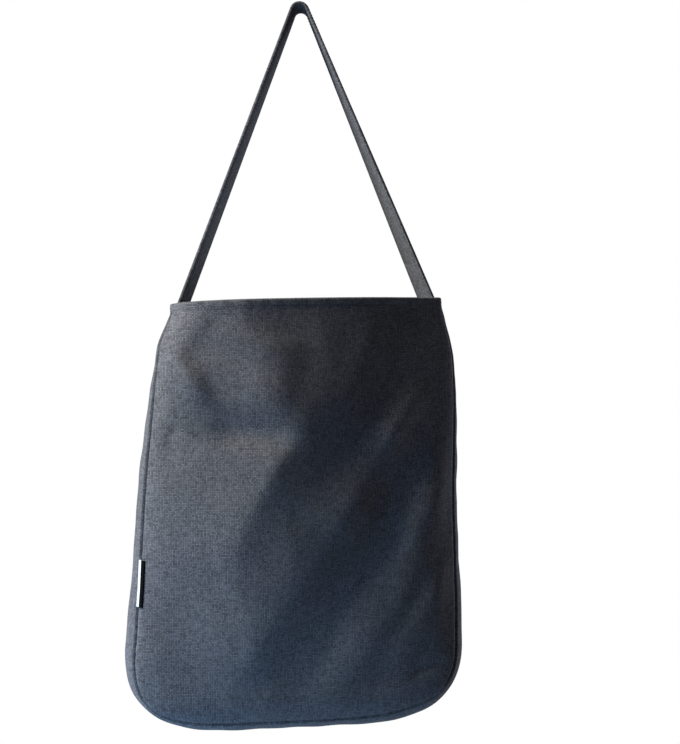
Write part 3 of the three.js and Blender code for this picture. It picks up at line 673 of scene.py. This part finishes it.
# Mouth hem
# The canvas and the lining are folded in together round the mouth as one narrow band.
# A row of stitches holds the band, and the turned-in seams make a small lump at each corner.
HEM_PROUD = 0.5  # how far it stands out from the canvas
HEM_BACK = LINING_DEPTH + LINING
HEM_TURN = 2.0  # radius of the rounded top edge
HEM_TURN_STEPS = np.radians(np.linspace(12, 84, 7))  # angles of its rows
HEM_STITCH = 7.6  # the stitches lie this far below the edge
HEM_STITCH_DIP = 0.3
HEM_STITCH_HALF = 0.6
HEM_FLAT_ROWS = (9.0, 8.7, 8.2, HEM_STITCH, 7.0, 6.4, 5.4, 4.2, 3.0)  # rows of the mesh below the edge
STITCH_ROW = HEM_FLAT_ROWS.index(HEM_STITCH)
HEM_EDGE = 0.06  # its lower edge lies this close to the cloth below
HEM_THIN_FROM = 1.0  # it gets thinner from here down
HEM_SWAY = 0.2
HEM_SWAY_WAVE = 15.0
CORNER_LUMP = 0.4
CORNER_LUMP_REACH = 5.0
CORNER_BEND = 1.6  # the band's corners are rounded over this distance
LOOP_COUNT = 420  # points round the mouth


def mouth_loop(down):
    """The bag's face round the mouth, a distance below its edge: front, right side, back and left side."""
    panel_points = 170
    side_points = 24
    ends = {end: sections(np.array([at])) for end, at in (("left", down), ("right", OUTLINE_LENGTH - down))}

    def edge(side, start, stop):
        a = ends[start][side["name"]][0]
        b = ends[stop][side["name"]][0]
        u = np.linspace(0, 1, panel_points, endpoint=False)
        x = a[0] + (b[0] - a[0]) * u
        z = a[2] + (b[2] - a[2]) * u
        return np.stack([x, panel_depth(side, x, z), z], -1)

    def side_edge(at, start, stop):
        t = np.linspace(start, stop, side_points, endpoint=False)
        return gusset_points(np.full_like(t, at), t)

    return np.concatenate([
        edge(FRONT, "left", "right"), side_edge(OUTLINE_LENGTH - down, 0, 1),
        edge(BACK, "right", "left"), side_edge(down, 1, 0)])


def even_loop(points, count):
    """A closed line of evenly spaced points, and its length."""
    closed = np.concatenate([points, points[:1]])
    run = np.concatenate([[0], np.cumsum(np.linalg.norm(np.diff(closed, axis=0), axis=1))])
    at = np.linspace(0, run[-1], count, endpoint=False)
    return np.stack([np.interp(at, run, closed[:, i]) for i in range(3)], -1), run[-1]


def round_off(points, spread):
    """A closed line whose corners are rounded over a number of its points."""
    reach = np.arange(-3 * math.ceil(spread), 3 * math.ceil(spread) + 1)
    weight = np.exp(-0.5 * (reach / spread) ** 2)
    return sum(np.roll(points, -k, axis=0) * w for k, w in zip(reach, weight / weight.sum()))


loops = []
for down in (0.0, HEM_HEIGHT):
    points, loop_length = even_loop(mouth_loop(down), LOOP_COUNT)
    loops.append(round_off(points, CORNER_BEND * LOOP_COUNT / loop_length))
hem_edge = loops[0]
hem_down = (loops[1] - loops[0]) / HEM_HEIGHT
hem_out = np.cross(hem_down, np.roll(hem_edge, -1, axis=0) - np.roll(hem_edge, 1, axis=0))
hem_out /= np.linalg.norm(hem_out, axis=-1, keepdims=True)
hem_run = np.arange(LOOP_COUNT + 1) * loop_length / LOOP_COUNT
seam_ends = [sections(np.array([at]))[name][0] for at in (0.0, OUTLINE_LENGTH) for name in ("front", "back")]
seam_gaps = [np.linalg.norm(hem_edge - end, axis=-1) for end in seam_ends]
lump = CORNER_LUMP * sum(np.exp(-(gap / CORNER_LUMP_REACH) ** 2) for gap in seam_gaps)
lump += HEM_SWAY * ripple(hem_run[:-1], HEM_SWAY_WAVE, seed=41)
hem_rows = np.concatenate([HEM_FLAT_ROWS, HEM_TURN * (1 - np.sin(HEM_TURN_STEPS))])
hem_share = np.concatenate([np.ones(len(HEM_FLAT_ROWS)), np.cos(HEM_TURN_STEPS)])
stitch_dip = HEM_STITCH_DIP * np.exp(-((hem_rows - HEM_STITCH) / HEM_STITCH_HALF) ** 2)
middle_out = (HEM_PROUD - HEM_BACK) / 2
half_thick = (HEM_PROUD + HEM_BACK) / 2


def hem_layer(out, swelling):
    down = hem_down[None] * hem_rows[:, None, None]
    return hem_edge[None] + down + hem_out[None] * (out[:, None] + swelling)[..., None]


thin_share = (hem_rows - HEM_THIN_FROM).clip(0) / (HEM_HEIGHT - HEM_THIN_FROM)
thin = (HEM_PROUD - HEM_EDGE) * thin_share ** 2
swelling = lump * (1 - (hem_rows / HEM_HEIGHT)[:, None] ** 2)
outer = hem_layer(middle_out + half_thick * hem_share - stitch_dip - thin, swelling)
inner = hem_layer(middle_out - half_thick * hem_share + stitch_dip, swelling=0)
grain = np.stack(np.meshgrid(hem_run, -hem_rows), -1)
mouth_hem = closed_wall("hem_band", outer, inner, grain, looped=True)
mouth_hem.data.materials.append(canvas)
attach(mouth_hem, "root")
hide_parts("mouth_hem")

# Hem stitches
# One row of dark thread round the band, each stitch sunk into the cloth at both ends.
# The same thread comes through on the inside.
STITCH_PITCH = 3.1
STITCH_LENGTH = 2.4
THREAD_RADIUS = 0.26
STITCH_CROWN = 0.75  # in thread radii: how far a stitch's middle stands out
STITCH_DIVE = 1.5  # and how much lower its ends lie
THREAD_END = 0.55  # share of the radius at a stitch's ends
# The thread's tone in the grooves between its plies and on their crowns; the step between them is painted
# shade.
THREAD_DARK = (0.020, 0.023, 0.029, 1)
THREAD_LIGHT = (0.060, 0.068, 0.080, 1)
PLY_TWIST = 9.0  # radians for each millimetre of thread
STITCH_RINGS = 5
THREAD_SIDES = 6

thread = bpy.data.materials.new("thread")
thread.use_nodes = True
tree = thread.node_tree
shader = tree.nodes["Principled BSDF"]
grain = add_node(tree, "ShaderNodeUVMap", uv_map="cloth").outputs[0]
axes = add_node(tree, "ShaderNodeSeparateXYZ", {0: grain}).outputs
round_thread = work_out(tree, "MULTIPLY", axes[0], 2 * math.pi / MM)
down_thread = work_out(tree, "MULTIPLY", axes[1], PLY_TWIST / MM)
twist = work_out(tree, "SINE", work_out(tree, "ADD", round_thread, down_thread))
ply = work_out(tree, "MULTIPLY_ADD", twist, 0.5, 0.5)
# Darker in the ply grooves and lighter on the ply crowns: painted shade.
tree.links.new(blend_colour(tree, ply, THREAD_DARK, THREAD_LIGHT), shader.inputs["Base Color"])
bump = add_node(tree, "ShaderNodeBump", {"Height": ply, "Distance": 0.05 * MM, "Strength": 0.7})
tree.links.new(bump.outputs[0], shader.inputs["Normal"])
shader.inputs["Roughness"].default_value = 0.6


def stitch_row(name, path, out, closed=False):
    """Stitches along a line on the cloth, where out points away from the cloth."""
    if closed:
        path = np.concatenate([path, path[:1]])
        out = np.concatenate([out, out[:1]])
    run = np.concatenate([[0], np.cumsum(np.linalg.norm(np.diff(path, axis=0), axis=1))])
    count = int(run[-1] // STITCH_PITCH)
    centre = (np.arange(count) + 0.5) * run[-1] / count
    q = np.linspace(-1, 1, STITCH_RINGS)
    at = centre[:, None] + q * STITCH_LENGTH / 2

    def follow(values):
        return np.stack([np.interp(at, run, values[:, i]) for i in range(3)], -1)

    up = follow(out)
    up /= np.linalg.norm(up, axis=-1, keepdims=True)
    lift = THREAD_RADIUS * (STITCH_CROWN - STITCH_DIVE * q ** 2)
    middle = follow(path) + up * lift[:, None]
    way = np.gradient(middle, axis=1)
    across = np.cross(way, up)
    across /= np.linalg.norm(across, axis=-1, keepdims=True)
    angle = np.linspace(0, 2 * math.pi, THREAD_SIDES, endpoint=False)
    radius = (THREAD_RADIUS * np.where(abs(q) == 1, THREAD_END, 1))[:, None, None]
    ring = across[..., None, :] * np.cos(angle)[:, None] + up[..., None, :] * np.sin(angle)[:, None]
    places = middle[..., None, :] + ring * radius
    point = np.arange(STITCH_RINGS * THREAD_SIDES).reshape(STITCH_RINGS, THREAD_SIDES)
    sleeve = quads(np.concatenate([point, point[:, :1]], 1))
    caps = [point[0, [0, 1, 2, 3]], point[0, [0, 3, 4, 5]], point[-1, [3, 2, 1, 0]], point[-1, [5, 4, 3, 0]]]
    one = np.concatenate([sleeve, caps])
    faces = (one[None] + np.arange(count)[:, None, None] * point.size).reshape(-1, 4)
    twist_marks = np.stack(np.meshgrid(np.arange(THREAD_SIDES) / THREAD_SIDES, q * STITCH_LENGTH / 2), -1)
    marks = np.tile(twist_marks.reshape(-1, 2)[one], (count, 1, 1)) * MM
    row = cloth_mesh(name, places.reshape(-1, 3) * MM, faces, marks)
    row.data.materials.append(thread)
    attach(row, "root")
    return row


stitch_row("hem_stitches_outside", outer[STITCH_ROW], hem_out, closed=True)
stitch_row("hem_stitches_inside", inner[STITCH_ROW], -hem_out, closed=True)

# Shoulder strap
# One long strip of the same canvas folded to four layers and stitched down both edges.
# Its ends are sewn inside the mouth against the gusset, and it hangs from the middle of its length.
STRAP_WIDTH = 28.0
STRAP_THICK = 3.8
STRAP_TAIL = 34.0  # length sewn down inside the mouth
STRAP_SEAT = 0.49  # where its middle lies across the gusset, front to back
STRAP_CLEAR = 1.1  # from the lining that it is sewn to
HANG_RADIUS = 6.5
HANG_TWIST = math.radians(10)
STRAP_STITCH = 3.2  # each row of stitches lies this far from its edge
STRAP_DIP = 0.2  # the stitches pull the cloth in by this much
STRAP_DIP_HALF = 0.7
STRAP_SWAY = 0.2
STRAP_SWAY_WAVE = 24.0
STRAP_SQUARE = 6.0  # how square the folded edges are
STRAP_EDGE = 0.02  # least value before the root that squares them
STRAP_FINE_STEP = 0.25
STRAP_COARSE_STEP = 1.6


def strap_tail(end):
    """Centre points and width directions of the end sewn inside the mouth, from its tip to the edge."""
    tail_points = 12
    down = np.linspace(STRAP_TAIL, 0, tail_points)
    at = down if end == "left" else OUTLINE_LENGTH - down
    section = sections(at)
    reach = STRAP_WIDTH / 2 / np.linalg.norm(section["back"] - section["front"], axis=-1)
    deep = gusset_inward(at, np.full_like(at, STRAP_SEAT)) * (HEM_BACK + STRAP_CLEAR + STRAP_THICK / 2)
    near = gusset_points(at, STRAP_SEAT - reach) + deep
    far = gusset_points(at, STRAP_SEAT + reach) + deep
    return (near + far) / 2, (far - near) / np.linalg.norm(far - near, axis=-1, keepdims=True)


def strap_line():
    """The strap's whole centre line and the direction of its width."""
    bend_points = 24
    leg_points = 110
    left, left_width = strap_tail("left")
    right, right_width = strap_tail("right")
    hang_width = np.array([math.sin(HANG_TWIST), math.cos(HANG_TWIST), 0])
    radius = HANG_RADIUS + STRAP_THICK / 2
    hub = np.array([0, 0, -HANG_RADIUS])

    def touch(foot, sign):
        reach = foot - hub
        angle = math.atan2(reach[2], reach[0]) + sign * math.acos(radius / math.hypot(reach[0], reach[2]))
        return angle % (2 * math.pi)

    angle = np.linspace(touch(left[-1], -1), touch(right[-1], 1), bend_points)
    bend = hub + radius * np.stack([np.cos(angle), 0 * angle, np.sin(angle)], -1)
    t = np.linspace(0, 1, leg_points)[1:-1, None]

    def leg(foot, width, top):
        turned = width + (hang_width - width) * t
        return foot + (top - foot) * t, turned / np.linalg.norm(turned, axis=-1, keepdims=True)

    left_leg, left_turn = leg(left[-1], left_width[-1], bend[0])
    right_leg, right_turn = leg(right[-1], right_width[-1], bend[-1])
    centre = np.concatenate([left, left_leg, bend, right_leg[::-1], right[::-1]])
    width = np.concatenate([left_width, left_turn, np.tile(hang_width, (len(bend), 1)),
                            right_turn[::-1], right_width[::-1]])
    return centre, width


centre, width = strap_line()
way = np.gradient(centre, axis=0)
way /= np.linalg.norm(way, axis=-1, keepdims=True)
width -= way * (width * way).sum(-1, keepdims=True)
width /= np.linalg.norm(width, axis=-1, keepdims=True)
strap_out = np.cross(way, width)
strap_run = np.concatenate([[0], np.cumsum(np.linalg.norm(np.diff(centre, axis=0), axis=1))])
aside = (crowded(STRAP_WIDTH, STRAP_FINE_STEP, STRAP_COARSE_STEP) - 0.5) * STRAP_WIDTH
rounded = (1 - abs(aside * 2 / STRAP_WIDTH) ** STRAP_SQUARE).clip(STRAP_EDGE) ** (1 / STRAP_SQUARE)
stitch_at = STRAP_WIDTH / 2 - STRAP_STITCH
dip = STRAP_DIP * np.exp(-((abs(aside) - stitch_at) / STRAP_DIP_HALF) ** 2)
sway = STRAP_SWAY * ripple(strap_run, STRAP_SWAY_WAVE, seed=51)
wave = sway[:, None] * np.cos(aside / STRAP_WIDTH * math.pi)
thick = STRAP_THICK / 2 * rounded - dip
flat = centre[:, None] + width[:, None] * aside[:, None]
one = flat + strap_out[:, None] * (wave + thick)[..., None]
other = flat + strap_out[:, None] * (wave - thick)[..., None]
grain = np.stack(np.broadcast_arrays(aside[None], strap_run[:, None]), -1)
strap = closed_wall("shoulder_strap", one, other, grain)
strap.data.materials.append(canvas)
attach(strap, "root")
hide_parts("strap")
for edge_name, sign in (("front", -1), ("back", 1)):
    nearest = np.argmin(abs(aside - sign * stitch_at))
    stitch_row("strap_stitches_inside_" + edge_name, other[:, nearest], -strap_out)
    stitch_row("strap_stitches_outside_" + edge_name, one[:, nearest], strap_out)

# Side label
# A short folded ribbon with a pale edge, caught in the left front seam and left bare.
# Its root goes down into the seam, and it lies flat on the panel with its pale fold over the seam.
LABEL_TOP = 250.0  # down the seam from the mouth
LABEL_HEIGHT = 44.0
LABEL_WIDTH = 6.2
LABEL_OVER = 1.2  # how far the fold lies over the seam
LABEL_THICK = 1.0
LABEL_ROOT = 2.4  # how deep its root goes into the seam
LABEL_ROOT_HALF = 0.5
LABEL_SQUARE = 6.0  # how square its two long edges are
LABEL_EDGE = 0.05  # least value before the square root that rounds them
LABEL_STEPS = {"down": (0.25, 1.2), "across": (0.15, 0.4)}
PALE_SHARE = 0.48  # of the label's width, from its fold
# Each yarn is a pair of tones, between the threads and on their crowns; the step between them is painted
# shade.
PALE_YARN = ((0.62, 0.63, 0.65, 1), (0.86, 0.87, 0.88, 1))
DARK_YARN = ((0.0015, 0.0015, 0.002, 1), (0.005, 0.005, 0.006, 1))

down = LABEL_TOP + LABEL_HEIGHT * crowded(LABEL_HEIGHT, *LABEL_STEPS["down"])
reach = crowded(LABEL_WIDTH, *LABEL_STEPS["across"])
section = sections(down)
aside = LABEL_WIDTH * reach - LABEL_OVER
spot = section["front"][:, None] + section["inward"][:, None] * aside[:, None]
near = section["front"][:, None] + section["inward"][:, None] * aside.clip(0)[:, None]
x = near[..., 0]
z = near[..., 2]
face = np.stack([spot[..., 0], panel_depth(FRONT, x, z), spot[..., 2]], -1)
inward = panel_inward(FRONT, x, z)
rounded_edge = np.sqrt((1 - abs(2 * reach - 1) ** LABEL_SQUARE).clip(LABEL_EDGE))
root = LABEL_ROOT * np.exp(-(aside / LABEL_ROOT_HALF) ** 2)
outer = face - inward * (SEW_GAP + LABEL_THICK * rounded_edge)[:, None]
inner = face - inward * (SEW_GAP - root)[:, None]
grain = np.stack(np.broadcast_arrays(LABEL_WIDTH * reach[None], down[:, None] - LABEL_TOP), -1)
side_label = closed_wall("label_ribbon", outer, inner, grain)

ribbon = bpy.data.materials.new("ribbon")
ribbon.use_nodes = True
tree = ribbon.node_tree
shader = tree.nodes["Principled BSDF"]
grain = add_node(tree, "ShaderNodeUVMap", uv_map="cloth").outputs[0]
values = {"Vector": grain, "Pitch": 0.3 * MM, "Wander": 0.3, "Slub Length": 20, "Speckle": 0.1}
height = add_node(tree, "ShaderNodeGroup", values, node_tree=WEAVE).outputs["Height"]
across = add_node(tree, "ShaderNodeSeparateXYZ", {0: grain}).outputs[0]
pale = work_out(tree, "LESS_THAN", across, PALE_SHARE * LABEL_WIDTH * MM)
# Each yarn is darker between the threads and lighter on their crowns: painted shade.
yarns_with_thread_shade = [blend_colour(tree, height, *tones) for tones in (DARK_YARN, PALE_YARN)]
tree.links.new(blend_colour(tree, pale, *yarns_with_thread_shade), shader.inputs["Base Color"])
bump = add_node(tree, "ShaderNodeBump", {"Height": height, "Distance": 0.06 * MM, "Strength": 0.6})
tree.links.new(bump.outputs[0], shader.inputs["Normal"])
shader.inputs["Roughness"].default_value = 0.8
shader.inputs["Specular IOR Level"].default_value = 0.05
side_label.data.materials.append(ribbon)
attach(side_label, "root")
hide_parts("side_label")

# Floor and light
# A plain pale floor well below the hanging bag, and a white surround that gives a little cool light.
# A large soft lamp stands high at the left, and weak bluish ones stand low at the left and at the right.
FLOOR_PLACE = (0, 0, -1.25)  # metres
FLOOR_RADIUS = 1.4

bpy.ops.mesh.primitive_circle_add(vertices=96, radius=FLOOR_RADIUS, fill_type="NGON", location=FLOOR_PLACE)
floor = bpy.context.object
floor.name = "floor"
paper = bpy.data.materials.new("pale_floor")
paper.use_nodes = True
shader = paper.node_tree.nodes["Principled BSDF"]
shader.inputs["Base Color"].default_value = (0.80, 0.80, 0.80, 1)
shader.inputs["Roughness"].default_value = 0.9
floor.data.materials.append(paper)
floor.visible_diffuse = False

world = bpy.data.worlds.new("white_surround")
bpy.context.scene.world = world
world.use_nodes = True
tree = world.node_tree
seen = tree.nodes["Background"]
seen.inputs["Color"].default_value = (1, 1, 1, 1)
fill = add_node(tree, "ShaderNodeBackground", {"Color": (0.96, 0.89, 1, 1), "Strength": 0.072})
direct = add_node(tree, "ShaderNodeLightPath").outputs["Is Camera Ray"]
surround = add_node(tree, "ShaderNodeMixShader", {0: direct, 1: fill.outputs[0], 2: seen.outputs[0]})
tree.links.new(surround.outputs[0], tree.nodes["World Output"].inputs["Surface"])


def soft_lamp(name, place, aim, size, power, colour, spread=180):
    lamp = bpy.data.objects.new(name, bpy.data.lights.new(name, "AREA"))
    lamp.data.size = size
    lamp.data.energy = power
    lamp.data.color = colour
    lamp.data.spread = math.radians(spread)
    lamp.location = place
    lamp.rotation_euler = (Vector(aim) - Vector(place)).to_track_quat("-Z", "Y").to_euler()
    lamp.visible_camera = False
    bpy.context.scene.collection.objects.link(lamp)


soft_lamp("key_lamp", place=(-1.74, -0.31, 0.84), aim=(0, 0, -0.5),
          size=0.7, power=100, colour=(1, 0.985, 0.96))
soft_lamp("low_lamp", place=(-0.58, -0.30, -1.08), aim=(0, 0, -0.65),
          size=0.3, power=2.05, colour=(0.37, 0.63, 1), spread=100)
soft_lamp("side_lamp", place=(1.6, 0.55, -0.4), aim=(0, 0, -0.4),
          size=1.0, power=15, colour=(0.80, 0.84, 1))
bpy.context.scene.view_settings.view_transform = "Standard"
